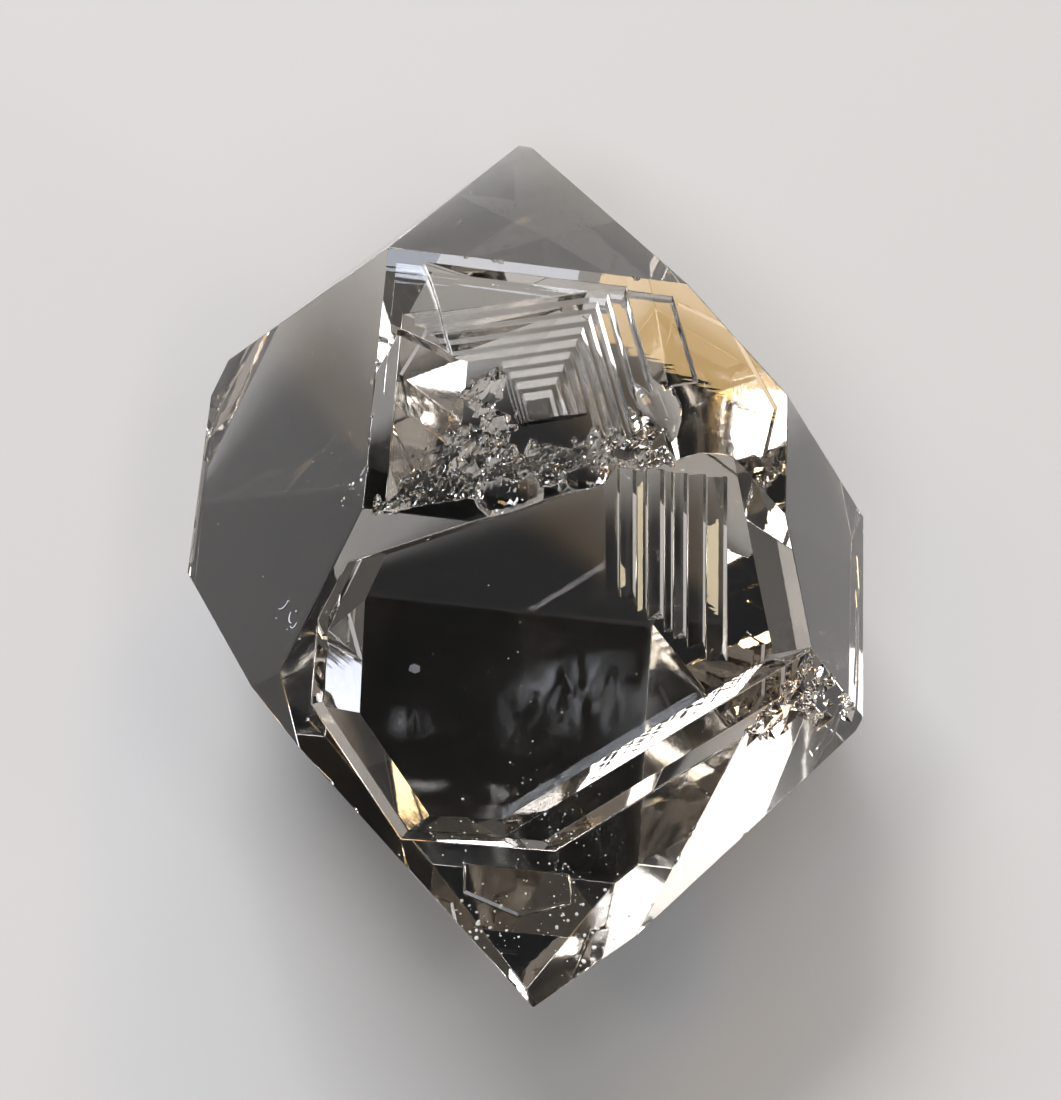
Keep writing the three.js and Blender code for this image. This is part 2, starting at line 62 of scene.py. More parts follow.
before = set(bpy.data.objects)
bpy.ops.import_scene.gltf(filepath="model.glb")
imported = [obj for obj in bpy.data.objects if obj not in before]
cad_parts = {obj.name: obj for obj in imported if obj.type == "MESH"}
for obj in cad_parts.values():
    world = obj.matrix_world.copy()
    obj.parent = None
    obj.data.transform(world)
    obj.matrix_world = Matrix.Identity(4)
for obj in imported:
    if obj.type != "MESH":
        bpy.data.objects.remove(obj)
cad_box = [list(corner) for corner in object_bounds()]
low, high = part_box(NODE)
print("crystal, mm:", [round(side / MM, 2) for side in high - low])

# %% [markdown]
# ## Small helpers
#
# Colours are written as sRGB hex values, the way a paint program shows them. Blender calculates
# with linear light, so one function converts them. A second one adds a node to a material, sets
# its sockets and links it, which keeps each material short enough to read.


# %% Colours and nodes
def linear(hex_colour):
    """Turns '#rrggbb' into linear RGBA: c / 12.92 near black, ((c + 0.055) / 1.055) ** 2.4 above."""
    srgb = np.array([int(hex_colour[i : i + 2], 16) for i in (1, 3, 5)]) / 255
    rgb = np.where(srgb <= 0.04045, srgb / 12.92, ((srgb + 0.055) / 1.055) ** 2.4)
    return (*rgb.tolist(), 1.0)


def add_node(tree, kind, settings=None, **sockets):
    """Adds a node. `settings` are its own properties. `sockets` maps an input's name, with _ for
    a space, to a value, or to another node's output, which is then linked."""
    node = tree.nodes.new(kind)
    for name, value in (settings or {}).items():
        setattr(node, name, value)
    for name, value in sockets.items():
        socket = node.inputs[name.replace("_", " ")]
        if isinstance(value, bpy.types.NodeSocket):
            tree.links.new(value, socket)
        else:
            socket.default_value = value
    return node


def operate(tree, operation, *terms):
    """Adds a node that calculates with its terms, which are numbers, vectors or outputs of other
    nodes, and returns its output."""
    kind = "ShaderNodeVectorMath" if operation == "DISTANCE" else "ShaderNodeMath"
    node = tree.nodes.new(kind)
    node.operation = operation
    for socket, term in zip(node.inputs, terms):
        if isinstance(term, bpy.types.NodeSocket):
            tree.links.new(term, socket)
        else:
            socket.default_value = term
    return node.outputs["Value"]


def new_material(name):
    """An empty node material: the material, its tree and its output node."""
    material = bpy.data.materials.new(name)
    material.use_nodes = True
    material.node_tree.nodes.clear()
    return material, material.node_tree, material.node_tree.nodes.new("ShaderNodeOutputMaterial")


def new_object(name, vertices, faces, material):
    """A mesh object at the origin, with its place in its vertices."""
    mesh = bpy.data.meshes.new(name)
    mesh.from_pydata(vertices, [], faces)
    mesh.update()
    mesh.materials.append(material)
    piece = bpy.data.objects.new(name, mesh)
    bpy.context.scene.collection.objects.link(piece)
    return piece


# %% [markdown]
# ## The camera
#
# The camera looks down on the crystal from in front, from about 5 cm away. It is placed first,
# because every later choice is judged through it. It is given by the point it aims at, by how far
# round and how high it stands, and by how it is rolled about its own axis.

# %% Camera
CAMERA_AIM = Vector((0.030, -0.296, 6.168)) * MM
CAMERA_DISTANCE = 54.77 * MM
CAMERA_AZIMUTH = math.radians(-11.85)
CAMERA_ELEVATION = math.radians(63.23)
CAMERA_ROLL = math.radians(17.04)
LENS = 83.54
SENSOR = 36.0

away = Vector((
    math.sin(CAMERA_AZIMUTH) * math.cos(CAMERA_ELEVATION),
    -math.cos(CAMERA_AZIMUTH) * math.cos(CAMERA_ELEVATION),
    math.sin(CAMERA_ELEVATION),
))
level = away.to_track_quat("Z", "Y").to_matrix().to_4x4()
camera_data = bpy.data.cameras.new("camera")
camera_data.sensor_fit = "VERTICAL"
camera_data.sensor_height = SENSOR
camera_data.lens = LENS
camera_data.clip_start = 1 * MM
camera = bpy.data.objects.new("camera", camera_data)
bpy.context.scene.collection.objects.link(camera)
camera.matrix_world = (
    Matrix.Translation(CAMERA_AIM + away * CAMERA_DISTANCE)
    @ level
    @ Matrix.Rotation(CAMERA_ROLL, 4, "Z")
)
bpy.context.scene.camera = camera
print("camera at, mm:", [round(c / MM, 1) for c in camera.matrix_world.translation])

# %% [markdown]
# ## The crystal's mesh
#
# The frame's mesh is loose triangles, so a copy of it is merged first, and triangles that lie in
# one plane are joined again. Every face is then one of four kinds, because each was made in its
# own way. Grown faces are perfectly flat. Rubble is crushed quartz, rough down to the smallest
# scale. A shell is one clean break: quartz has no cleavage, so like glass it breaks in bowls with
# fine ribs. And the rounding along the edges is wear. The first three are told apart by their
# size and by the centres and radii of the bowls.

# %% Merged copy
MERGE = 0.0005 * MM
FLAT_ANGLE = math.radians(0.15)


def merged_copy(source, name):
    """A copy of a frame node whose triangles share corners, joined where they lie in one plane."""
    mesh = source.data.copy()
    mesh.name = name
    sculpt = bmesh.new()
    sculpt.from_mesh(mesh)
    bmesh.ops.remove_doubles(sculpt, verts=sculpt.verts, dist=MERGE)
    bmesh.ops.dissolve_degenerate(sculpt, edges=sculpt.edges, dist=MERGE)
    bmesh.ops.dissolve_limit(
        sculpt, angle_limit=FLAT_ANGLE, verts=sculpt.verts, edges=sculpt.edges, delimit={"NORMAL"}
    )
    sculpt.to_mesh(mesh)
    sculpt.free()
    piece = bpy.data.objects.new(name, mesh)
    bpy.context.scene.collection.objects.link(piece)
    return piece


crystal = merged_copy(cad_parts[NODE], "crystal")
mesh = crystal.data
print("crystal:", len(mesh.vertices), "corners,", len(mesh.polygons), "faces")

# %% [markdown]
# The frame has both points sharp, but the far one is worn off a little. A plane across it cuts
# the mesh, what lies outside is deleted, and the hole is closed with one flat face.

# %% Worn tip
# How much is worn off, and the way the worn face looks.
TIP_WORN = 0.25 * MM
TIP_FACING = Vector((0.10, 0.97, 0.22)).normalized()

sculpt = bmesh.new()
sculpt.from_mesh(mesh)
tip = max((vertex.co for vertex in sculpt.verts), key=TIP_FACING.dot).copy()
cut = bmesh.ops.bisect_plane(
    sculpt,
    geom=[*sculpt.verts, *sculpt.edges, *sculpt.faces],
    plane_co=tip - TIP_FACING * TIP_WORN,
    plane_no=TIP_FACING,
    clear_outer=True,
)
rim = [item for item in cut["geom_cut"] if isinstance(item, bmesh.types.BMEdge)]
worn = bmesh.ops.edgeloop_fill(sculpt, edges=rim)["faces"]
bmesh.ops.recalc_face_normals(sculpt, faces=sculpt.faces)
print("worn tip:", round(sum(face.calc_area() for face in worn) / MM**2, 3), "square mm")
sculpt.to_mesh(mesh)
sculpt.free()

# %% [markdown]
# Every face is now given its kind. The broken ones are cut finer too, because a rough or round
# surface needs many small faces, and the flat ones don't.

# %% Kinds of face
GROWN, RUBBLE, SHELL, WORN = range(4)
RUBBLE_AREA = 0.045 * MM**2
# Long thin slivers are leftovers of grown faces. This is the least area over squared perimeter.
RUBBLE_COMPACTNESS = 0.004
# The grooves' ends are small too, but grown: x from and to, y below and z above, in mm.
GROOVES = (1.0, 4.0, -1.7, 7.0)
# The bowls: centre and radius, and where the break began, in mm.
SHELLS = [
    ((1.12, 0.34, 12.32), 1.40, (2.30, -0.70, 11.60)),
    ((0.62, -1.03, 11.72), 0.72, (1.35, -1.10, 11.50)),
    ((-1.05, -1.73, 11.89), 0.78, (-1.85, -1.60, 11.50)),
]
SHELL_REACH = 0.02 * MM
# The least cosine between a bowl's face and the direction to the bowl's centre.
SHELL_INWARD = 0.9


def on_shell(face):
    """Whether a face is part of a bowl: all its corners are one radius from the bowl's centre,
    and it faces that centre."""
    for centre, radius, _ in SHELLS:
        middle = Vector(centre) * MM
        away = max(abs((vertex.co - middle).length - radius * MM) for vertex in face.verts)
        inward = (middle - face.calc_center_median()).normalized()
        if away < SHELL_REACH and face.normal.dot(inward) > SHELL_INWARD:
            return True
    return False


def is_rubble(face):
    """Whether a face is a small one, but neither a sliver of a grown face nor part of a groove."""
    area = face.calc_area()
    x, y, z = face.calc_center_median() / MM
    left, right, near, floor = GROOVES
    groove = left < x < right and y < near and z > floor
    compact = area > RUBBLE_COMPACTNESS * face.calc_perimeter() ** 2
    return area < RUBBLE_AREA and compact and not groove


# %% Finer broken faces
RUBBLE_CUTS = 2
SHELL_CUTS = 4
SHORT_EDGE = 0.05 * MM
SAME_POINT = 0.00001 * MM


def long_edges(faces):
    """The edges of these faces that are worth a cut, once each. A dictionary keeps them in order,
    which a set wouldn't, so that the mesh is the same every time."""
    edges = dict.fromkeys(edge for face in faces for edge in face.edges)
    return [edge for edge in edges if edge.calc_length() > SHORT_EDGE]


def cut_finer(sculpt, mark, kind, cuts):
    """Cuts the faces of one kind into triangles, and those into (cuts + 1) squared smaller ones.
    They are taken off first, or Blender would cut their large flat neighbours too. Those only get
    the new corners along the border, and then both sides are merged."""
    chosen = [face for face in sculpt.faces if face[mark] == kind]
    chosen = bmesh.ops.triangulate(sculpt, faces=chosen)["faces"]
    bmesh.ops.split(sculpt, geom=chosen)
    chosen = [face for face in sculpt.faces if face[mark] == kind]
    border = [edge for edge in long_edges(sculpt.faces) if edge.is_boundary]
    border = [edge for edge in border if edge.link_faces[0][mark] != kind]
    bmesh.ops.bisect_edges(sculpt, edges=border, cuts=cuts)
    bmesh.ops.subdivide_edges(sculpt, edges=long_edges(chosen), cuts=cuts, use_grid_fill=True)
    bmesh.ops.remove_doubles(sculpt, verts=sculpt.verts, dist=SAME_POINT)


sculpt = bmesh.new()
sculpt.from_mesh(mesh)
mark = sculpt.faces.layers.int.new("kind")
for face in sculpt.faces:
    face[mark] = SHELL if on_shell(face) else RUBBLE if is_rubble(face) else GROWN
cut_finer(sculpt, mark, RUBBLE, RUBBLE_CUTS)
cut_finer(sculpt, mark, SHELL, SHELL_CUTS)
sculpt.to_mesh(mesh)
sculpt.free()


def read(collection, name, width=1, kind=float):
    """One property of every item of a Blender collection, as an array with a row for each."""
    values = np.empty(len(collection) * width, kind)
    collection.foreach_get(name, values)
    return values.reshape(-1, width) if width > 1 else values


def face_kinds(mesh):
    """The kind of every face."""
    return read(mesh.attributes["kind"].data, "value", kind=int)


print("grown, rubble, shell faces:", np.bincount(face_kinds(mesh)))

# %% [markdown]
# ## Broken surfaces
#
# A bump in the material could fake the breaks, but they are seen close up and their outlines are
# rough too, so the shape itself gets them. The rubble's corners are moved along their normals by
# a sum of plane waves, which looks random but needs no picture and is the same every time. The
# bowls' corners are moved onto the true bowl, which the frame only has in flat pieces, and then
# a little in and out again in rings round the point where the break began: those are the ribs.


# %% Rubble and ribs
RUBBLE_LENGTH = 0.10 * MM
RUBBLE_HEIGHT = 0.016 * MM
RIB_SPACING = 0.15 * MM
RIB_HEIGHT = 0.0035 * MM
RUBBLE_WAVES = 24


def plane_waves(points, wavelength, count, seed):
    """Adds `count` waves: sum of sin(2 pi p . d / wavelength + phase) / sqrt(count), where each
    wave has its own random direction d and phase, and a length of 0.6 to 1.6 `wavelength`."""
    draw = np.random.default_rng(seed)
    directions = draw.normal(size=(count, 3))
    directions /= np.linalg.norm(directions, axis=1, keepdims=True)
    lengths = wavelength * draw.uniform(0.6, 1.6, count)
    phases = draw.uniform(0, 2 * np.pi, count)
    return np.sin(2 * np.pi * (points @ directions.T) / lengths + phases).sum(axis=1) / count**0.5


def corner_faces(mesh):
    """For each face corner, the number of its face: 0 0 0 1 1 1 1 2 2 2 and so on."""
    return np.repeat(np.arange(len(mesh.polygons)), read(mesh.polygons, "loop_total", kind=int))


def inside(mesh, kind):
    """Which vertices have faces of this kind only, so that moving them leaves the rest alone."""
    own = np.ones(len(mesh.vertices), bool)
    corners = read(mesh.loops, "vertex_index", kind=int)
    own[corners[face_kinds(mesh)[corner_faces(mesh)] != kind]] = False
    return own


points = read(mesh.vertices, "co", 3)
rough = inside(mesh, RUBBLE)
shift = RUBBLE_HEIGHT * plane_waves(points, RUBBLE_LENGTH, RUBBLE_WAVES, seed=3)
points[rough] += (read(mesh.vertices, "normal", 3) * shift[:, None])[rough]
smooth = inside(mesh, SHELL)
for centre, radius, start in SHELLS:
    arm = points - np.array(centre) * MM
    reach = np.linalg.norm(arm, axis=1)
    bowl = smooth & (abs(reach - radius * MM) < SHELL_REACH)
    ring = np.linalg.norm(points - np.array(start) * MM, axis=1) / RIB_SPACING
    rib = radius * MM + RIB_HEIGHT * np.sin(2 * np.pi * ring)
    points[bowl] = (np.array(centre) * MM + arm * (rib / reach)[:, None])[bowl]
mesh.vertices.foreach_set("co", points.ravel())
mesh.update()
print("moved:", int(rough.sum()), "corners in the rubble,", int(smooth.sum()), "in the bowls")

# %% [markdown]
# ## Edges and normals
#
# Where grown faces meet in an outward edge, wear has rounded it by a few hundredths of a
# millimetre. That is too narrow to see as a shape, but it catches the light as a thin bright
# line, so those edges are bevelled.
#
# In clear glass the normals matter more than in any other material: a face whose normals lean by
# one degree bends everything that is seen through it. So they are not left to Blender's smooth
# shading. A grown face uses its own normal in all its corners, and is dead flat. Elsewhere a
# corner takes the mean of the faces round it, weighted by their areas, but only of those that
# lean less than a limit: a small limit leaves the rubble crisp, a large one makes bowls and worn
# edges smooth.

# %% Worn edges
EDGE_ROUNDING = 0.022 * MM
ROUNDED_ANGLE = math.radians(14)
ROUNDED_AREA = 0.06 * MM**2


def edge_corners(mesh):
    """The two face corners of each edge. A closed mesh has exactly two per edge, so sorting the
    corners by edge puts them in pairs."""
    return np.argsort(read(mesh.loops, "edge_index", kind=int), kind="stable").reshape(-1, 2).T


first, second = corner_faces(mesh)[edge_corners(mesh)]
normals = read(mesh.polygons, "normal", 3)
centres = read(mesh.polygons, "center", 3)
areas = read(mesh.polygons, "area")
kinds = face_kinds(mesh)
angle = np.arccos(np.clip((normals[first] * normals[second]).sum(axis=1), -1, 1))
outward = (normals[first] * (centres[second] - centres[first])).sum(axis=1) < 0
grown = (kinds[first] == GROWN) & (kinds[second] == GROWN)
large = np.minimum(areas[first], areas[second]) > ROUNDED_AREA
rounded = np.flatnonzero(grown & large & outward & (angle > ROUNDED_ANGLE))

sculpt = bmesh.new()
sculpt.from_mesh(mesh)
sculpt.edges.ensure_lookup_table()
mark = sculpt.faces.layers.int["kind"]
strips = bmesh.ops.bevel(
    sculpt,
    geom=[sculpt.edges[number] for number in rounded.tolist()],
    offset=EDGE_ROUNDING,
    offset_type="OFFSET",
    segments=2,
    profile=0.5,
    affect="EDGES",
)
for face in strips["faces"]:
    face[mark] = WORN
bmesh.ops.remove_doubles(sculpt, verts=sculpt.verts, dist=MERGE)
bmesh.ops.dissolve_degenerate(sculpt, edges=sculpt.edges, dist=MERGE)
sculpt.to_mesh(mesh)
sculpt.free()
print("rounded edges:", len(rounded), "- faces:", len(mesh.polygons))

# %% Normals
# How far faces may lean from one another to be shaded as one surface, for each kind, in degrees.
SMOOTH_LIMITS = {GROWN: 0.0, RUBBLE: 17.0, SHELL: 40.0, WORN: 75.0}


def corner_normals(mesh, limits):
    """For each face corner, the sum of area x normal over the faces that share its vertex and
    whose normal leans less than `limits` from that of the corner's own face, made one long."""
    vertices = read(mesh.loops, "vertex_index", kind=int)
    faces = corner_faces(mesh)
    normals = read(mesh.polygons, "normal", 3)
    order = np.argsort(vertices, kind="stable")
    count = np.bincount(vertices)
    around = count[vertices]
    here = np.repeat(np.arange(len(vertices)), around)
    step = np.arange(len(here)) - np.repeat(np.cumsum(around) - around, around)
    there = faces[order[(np.cumsum(count) - count)[vertices[here]] + step]]
    own = faces[here]
    near = (normals[own] * normals[there]).sum(axis=1) > np.cos(limits[own])
    share = read(mesh.polygons, "area")[there] * (near | (own == there))
    total = np.stack([np.bincount(here, share * normals[there, axis]) for axis in range(3)], axis=1)
    return total / np.linalg.norm(total, axis=1, keepdims=True)


def sharp_edges(mesh, shading):
    """Edges where the normals of the two faces differ at either end. The face on one side runs
    along an edge forwards and the other one backwards, so one's corner meets the other's next."""
    starts = read(mesh.polygons, "loop_start", kind=int)
    following = np.arange(1, len(mesh.loops) + 1)
    following[starts + read(mesh.polygons, "loop_total", kind=int) - 1] = starts
    one, other = edge_corners(mesh)
    start = (shading[one] * shading[following[other]]).sum(axis=1)
    end = (shading[following[one]] * shading[other]).sum(axis=1)
    return np.minimum(start, end) < math.cos(FLAT_ANGLE)


kinds = face_kinds(mesh)
limits = np.radians([SMOOTH_LIMITS[kind] for kind in range(4)])[kinds]
shading = corner_normals(mesh, limits)
mesh.polygons.foreach_set("use_smooth", np.ones(len(mesh.polygons), bool))
sharp = sharp_edges(mesh, shading)
mesh.attributes.new("sharp_edge", "BOOLEAN", "EDGE").data.foreach_set("value", sharp)
mesh.normals_split_custom_set(shading.tolist())
mesh.update()
normals = read(mesh.polygons, "normal", 3)
centres = read(mesh.polygons, "center", 3)
print("sharp edges:", int(sharp.sum()), "of", len(sharp))

# %% [markdown]
# ## Quartz
#
# Quartz is clear, so its looks come from three numbers more than from any pattern: it bends
# light with an index of 1.544, its grown faces have no roughness, and it takes a little more
# blue than red out of the light along the way, which gives the faint smoky brown of thick
# parts. Those sit on the shaders' own sockets. What varies is drawn by nodes: the rubble is a
# little frosted, and so is the face under the crystal, which was etched while it lay in the rock.
# Fine growth lines cross the faces. Ground water left a thin film of iron, yellow-brown, in the
# pitted corner and a few other hollows. It is drawn as noise that fades out round each of them.

# %% Frosted faces
RUBBLE_ROUGHNESS = 0.05
ETCH_ROUGHNESS = 0.05
# The resting face is the one that looks straight down and lies at the very bottom.
FACES_DOWN = -0.999
BOTTOM = 0.01 * MM

for name, chosen in {
    "rubble": kinds == RUBBLE,
    "resting": (normals[:, 2] < FACES_DOWN) & (centres[:, 2] < BOTTOM),
}.items():
    mesh.attributes.new(name, "FLOAT", "FACE").data.foreach_set("value", chosen.astype(float))

quartz, tree, output = new_material("clear_quartz")
place = add_node(tree, "ShaderNodeTexCoord").outputs["Object"]
rubble = add_node(tree, "ShaderNodeAttribute", {"attribute_name": "rubble"}).outputs["Fac"]
resting = add_node(tree, "ShaderNodeAttribute", {"attribute_name": "resting"}).outputs["Fac"]
etched = operate(tree, "MULTIPLY", resting, ETCH_ROUGHNESS)
frost = operate(tree, "MULTIPLY_ADD", rubble, RUBBLE_ROUGHNESS, etched)

# %% Growth lines and etching
LINE_SPACING = 0.16 * MM
LINE_HEIGHT = 0.0003 * MM
# The lines run across the crystal, so they vary much less along x and z than along y.
LINE_STRETCH = (0.04, 1.0, 0.04)
ETCH_SIZE = 0.30 * MM
ETCH_HEIGHT = 0.0007 * MM

across = add_node(tree, "ShaderNodeMapping", Vector=place, Scale=LINE_STRETCH)
lines = add_node(
    tree, "ShaderNodeTexNoise", Vector=across.outputs["Vector"], Scale=1 / LINE_SPACING, Detail=2.0
)
growth = add_node(
    tree, "ShaderNodeBump", Strength=1.0, Distance=LINE_HEIGHT, Height=lines.outputs["Fac"]
)
etch = add_node(tree, "ShaderNodeTexNoise", Vector=place, Scale=1 / ETCH_SIZE, Detail=4.0)
etching = add_node(
    tree, "ShaderNodeBump", Strength=1.0, Distance=ETCH_HEIGHT, Normal=growth.outputs["Normal"],
    Height=operate(tree, "MULTIPLY", etch.outputs["Fac"], resting),
)

# %% Iron film
# Where the film is: its middle and its reach in mm.
STAINS = [((4.9, -4.5, 9.0), 1.7), ((-3.3, -6.2, 7.3), 0.8), ((2.6, 3.3, 11.0), 0.6)]
STAIN_GRAIN = 0.14 * MM
# The film begins where noise + STAIN_PUSH * nearness passes the first value, and is full at the
# second one.
STAIN_PUSH = 0.35
STAIN_FROM, STAIN_TO = 0.58, 0.80

near = 0.0
for middle, reach in STAINS:
    away = operate(tree, "DISTANCE", place, Vector(middle) * MM)
    spot = add_node(tree, "ShaderNodeMapRange", Value=away, From_Max=reach * MM, To_Min=1.0, To_Max=0.0)
    near = operate(tree, "MAXIMUM", spot.outputs["Result"], near)
grain = add_node(tree, "ShaderNodeTexNoise", Vector=place, Scale=1 / STAIN_GRAIN, Detail=5.0)
pushed = operate(tree, "MULTIPLY_ADD", near, STAIN_PUSH, grain.outputs["Fac"])
film = add_node(tree, "ShaderNodeMapRange", Value=pushed, From_Min=STAIN_FROM, From_Max=STAIN_TO)
iron = add_node(tree, "ShaderNodeMix", {"data_type": "RGBA"})
iron.inputs["A"].default_value = linear("#ffffff")
iron.inputs["B"].default_value = linear("#dcae74")
tree.links.new(operate(tree, "MULTIPLY", film.outputs["Result"], near), iron.inputs["Factor"])

# %% Clear quartz
QUARTZ_IOR = 1.544
# Light that goes a length s through the quartz is left with exp(-SMOKE * (1 - colour) * s).
SMOKE = 90.0

glass = add_node(
    tree, "ShaderNodeBsdfPrincipled", Base_Color=iron.outputs["Result"], Roughness=frost,
    IOR=QUARTZ_IOR, Transmission_Weight=1.0, Normal=etching.outputs["Normal"],
)
smoke = add_node(tree, "ShaderNodeVolumeAbsorption", Color=linear("#cfc9c0"), Density=SMOKE)
tree.links.new(glass.outputs[0], output.inputs["Surface"])
tree.links.new(smoke.outputs[0], output.inputs["Volume"])
mesh.materials.clear()
mesh.materials.append(quartz)
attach(crystal, "root")
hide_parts(NODE)

# %% [markdown]
# ## Dust
#
# The crystal has lain loose among others, so fine white rock dust clings to its faces. Each grain
# is one small faceted lump, an icosahedron stretched and dented at random. The grains are dropped
# straight down on the crystal with a ray, in patches, and turned so that they lie flat on the face
# that they hit. Powder is matt, so the material is rough and opaque, and its white is a little
# greyer in some places.

# %% Rock dust
DUST_TONES = 0.5 * MM

dust, tree, output = new_material("white_rock_dust")
place = add_node(tree, "ShaderNodeTexCoord")
tone = add_node(
    tree, "ShaderNodeTexNoise", Vector=place.outputs["Object"], Scale=1 / DUST_TONES, Detail=1.0
)
shades = add_node(tree, "ShaderNodeValToRGB", Fac=tone.outputs["Fac"])
shades.color_ramp.elements[0].position = 0.35
shades.color_ramp.elements[0].color = linear("#b9b2a4")
shades.color_ramp.elements[1].position = 0.65
shades.color_ramp.elements[1].color = linear("#f2f3f5")
powder = add_node(
    tree, "ShaderNodeBsdfPrincipled", Base_Color=shades.outputs["Color"], Roughness=0.9, IOR=1.54
)
tree.links.new(powder.outputs[0], output.inputs["Surface"])


# %% Grains
# The height in mm from which the rays fall.
SKY = 20.0
surface = BVHTree.FromPolygons(
    (read(mesh.vertices, "co", 3) / MM).tolist(), [list(face.vertices) for face in mesh.polygons]
)


def drop(x, y):
    """The point, in mm, where a ray straight down at x, y meets the crystal, and the normal there."""
    point, normal, _, _ = surface.ray_cast(Vector((x, y, SKY)), Vector((0, 0, -1)))
    return point, normal


def grains(name, spots, sizes, material, draw):
    """One mesh of many grains. Each is the icosahedron's 12 corners, pushed in by up to a third,
    stretched along three axes, turned about the normal and set down at its spot."""
    sculpt = bmesh.new()
    bmesh.ops.create_icosphere(sculpt, subdivisions=1, radius=0.5)
    base = np.array([vertex.co for vertex in sculpt.verts])
    faces = np.array([[vertex.index for vertex in face.verts] for face in sculpt.faces])
    sculpt.free()
    landed = [(*drop(x, y), size) for (x, y), size in zip(spots, sizes)]
    landed = [(point, normal, size) for point, normal, size in landed if point]
    count = len(landed)
    frames = np.array([normal.to_track_quat("Z", "Y").to_matrix() for _, normal, _ in landed])
    centres = np.array([point for point, _, _ in landed])
    scale = np.array([size for _, _, size in landed])[:, None, None]
    stretch = draw.uniform(0.6, 1.0, (count, 1, 3)) * (1.0, 1.0, 0.7)
    dents = draw.uniform(0.67, 1.0, (count, len(base), 1))
    turn = draw.uniform(0, 2 * np.pi, count)
    spin = np.zeros((count, 3, 3))
    spin[:, 0, 0] = spin[:, 1, 1] = np.cos(turn)
    spin[:, 1, 0] = np.sin(turn)
    spin[:, 0, 1] = -np.sin(turn)
    spin[:, 2, 2] = 1
    lumps = (base * dents * stretch * scale) @ (frames @ spin).transpose(0, 2, 1)
    corners = (lumps + centres[:, None]).reshape(-1, 3) * MM
    indices = (faces[None] + len(base) * np.arange(count)[:, None, None]).reshape(-1, 3)
    piece = new_object(name, corners.tolist(), indices.tolist(), material)
    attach(piece, "root")
    print(name + ":", count, "grains,", len(indices), "triangles")
    return piece


# %% Where the dust lies
# Each patch: the middle in mm, its spread, how many grains, and how large the largest is.
DUST_PATCHES = [
    ((0.5, -7.7), 1.00, 190, 0.085),
    ((0.7, -6.5), 0.50, 90, 0.075),
    ((1.9, -8.9), 0.34, 60, 0.170),
    ((-0.6, -8.9), 0.30, 40, 0.150),
    ((-5.3, -3.9), 0.50, 40, 0.060),
    ((-5.4, -1.0), 1.00, 30, 0.050),
    ((0.0, -4.8), 1.50, 80, 0.055),
    ((-4.1, -1.95), 0.12, 12, 0.120),
    ((3.6, 0.6), 0.90, 24, 0.040),
    ((0.4, 6.0), 1.50, 30, 0.045),
]
# A grain is u ** MANY_SMALL times as large as the largest, where u is drawn from LEAST_DRAW to 1.
LEAST_DRAW = 0.3
MANY_SMALL = 1.8

draw = np.random.default_rng(11)
spots = np.concatenate([
    draw.normal(middle, spread, (count, 2)) for middle, spread, count, _ in DUST_PATCHES
])
sizes = np.concatenate([
    largest * draw.uniform(LEAST_DRAW, 1.0, count) ** MANY_SMALL
    for _, _, count, largest in DUST_PATCHES
])
grains("rock_dust", spots, sizes, dust, draw)

# %% [markdown]
# ## Lint and a flake
#
# Two finds from after the crystal left the rock: three bits of cotton lint on the large face at
# the left, and a thin flake of quartz on the terrace. A bit of lint is a bent tube, swept round
# an arc that lies on the face. It is made of rings of eight corners, so it has a real thickness,
# and its ends are closed. Cotton is soft and white, and its twist shows as a faint unevenness.
#
# The flake is a thin plate with six corners. Its faces are broken ones, so it looks milky and not
# clear: its material lets half of the light through and scatters the rest, and its gloss is
# blurred.

# %% Cotton
TWIST_LENGTH = 0.04 * MM
TWIST_HEIGHT = 0.002 * MM

lint, tree, output = new_material("cotton_lint")
place = add_node(tree, "ShaderNodeTexCoord")
fibre = add_node(
    tree, "ShaderNodeTexNoise", Vector=place.outputs["Object"], Scale=1 / TWIST_LENGTH, Detail=2.0
)
whites = add_node(tree, "ShaderNodeValToRGB", Fac=fibre.outputs["Fac"])
whites.color_ramp.elements[0].color = linear("#b9c2cf")
whites.color_ramp.elements[1].color = linear("#f6f8fb")
twist = add_node(
    tree, "ShaderNodeBump", Strength=0.6, Distance=TWIST_HEIGHT, Height=fibre.outputs["Fac"]
)
cotton = add_node(
    tree, "ShaderNodeBsdfPrincipled", Base_Color=whites.outputs["Color"], Roughness=0.6, IOR=1.53,
    Normal=twist.outputs["Normal"],
)
tree.links.new(cotton.outputs[0], output.inputs["Surface"])


# %% Lint
LINT_RADIUS = 0.012
LINT_STEPS = 16
LINT_SIDES = 8
# Where on a half turn the tube's ends are: at 0 they would be points.
BLUNT_END = 0.25
# Each arc in mm and degrees: its start at x, y, its length, its first direction and its bend.
LINT_ARCS = [
    ((-4.98, -3.60), 0.42, -62, 95),
    ((-4.90, -3.92), 0.34, -40, -120),
    ((-4.78, -4.22), 0.30, -75, 140),
]


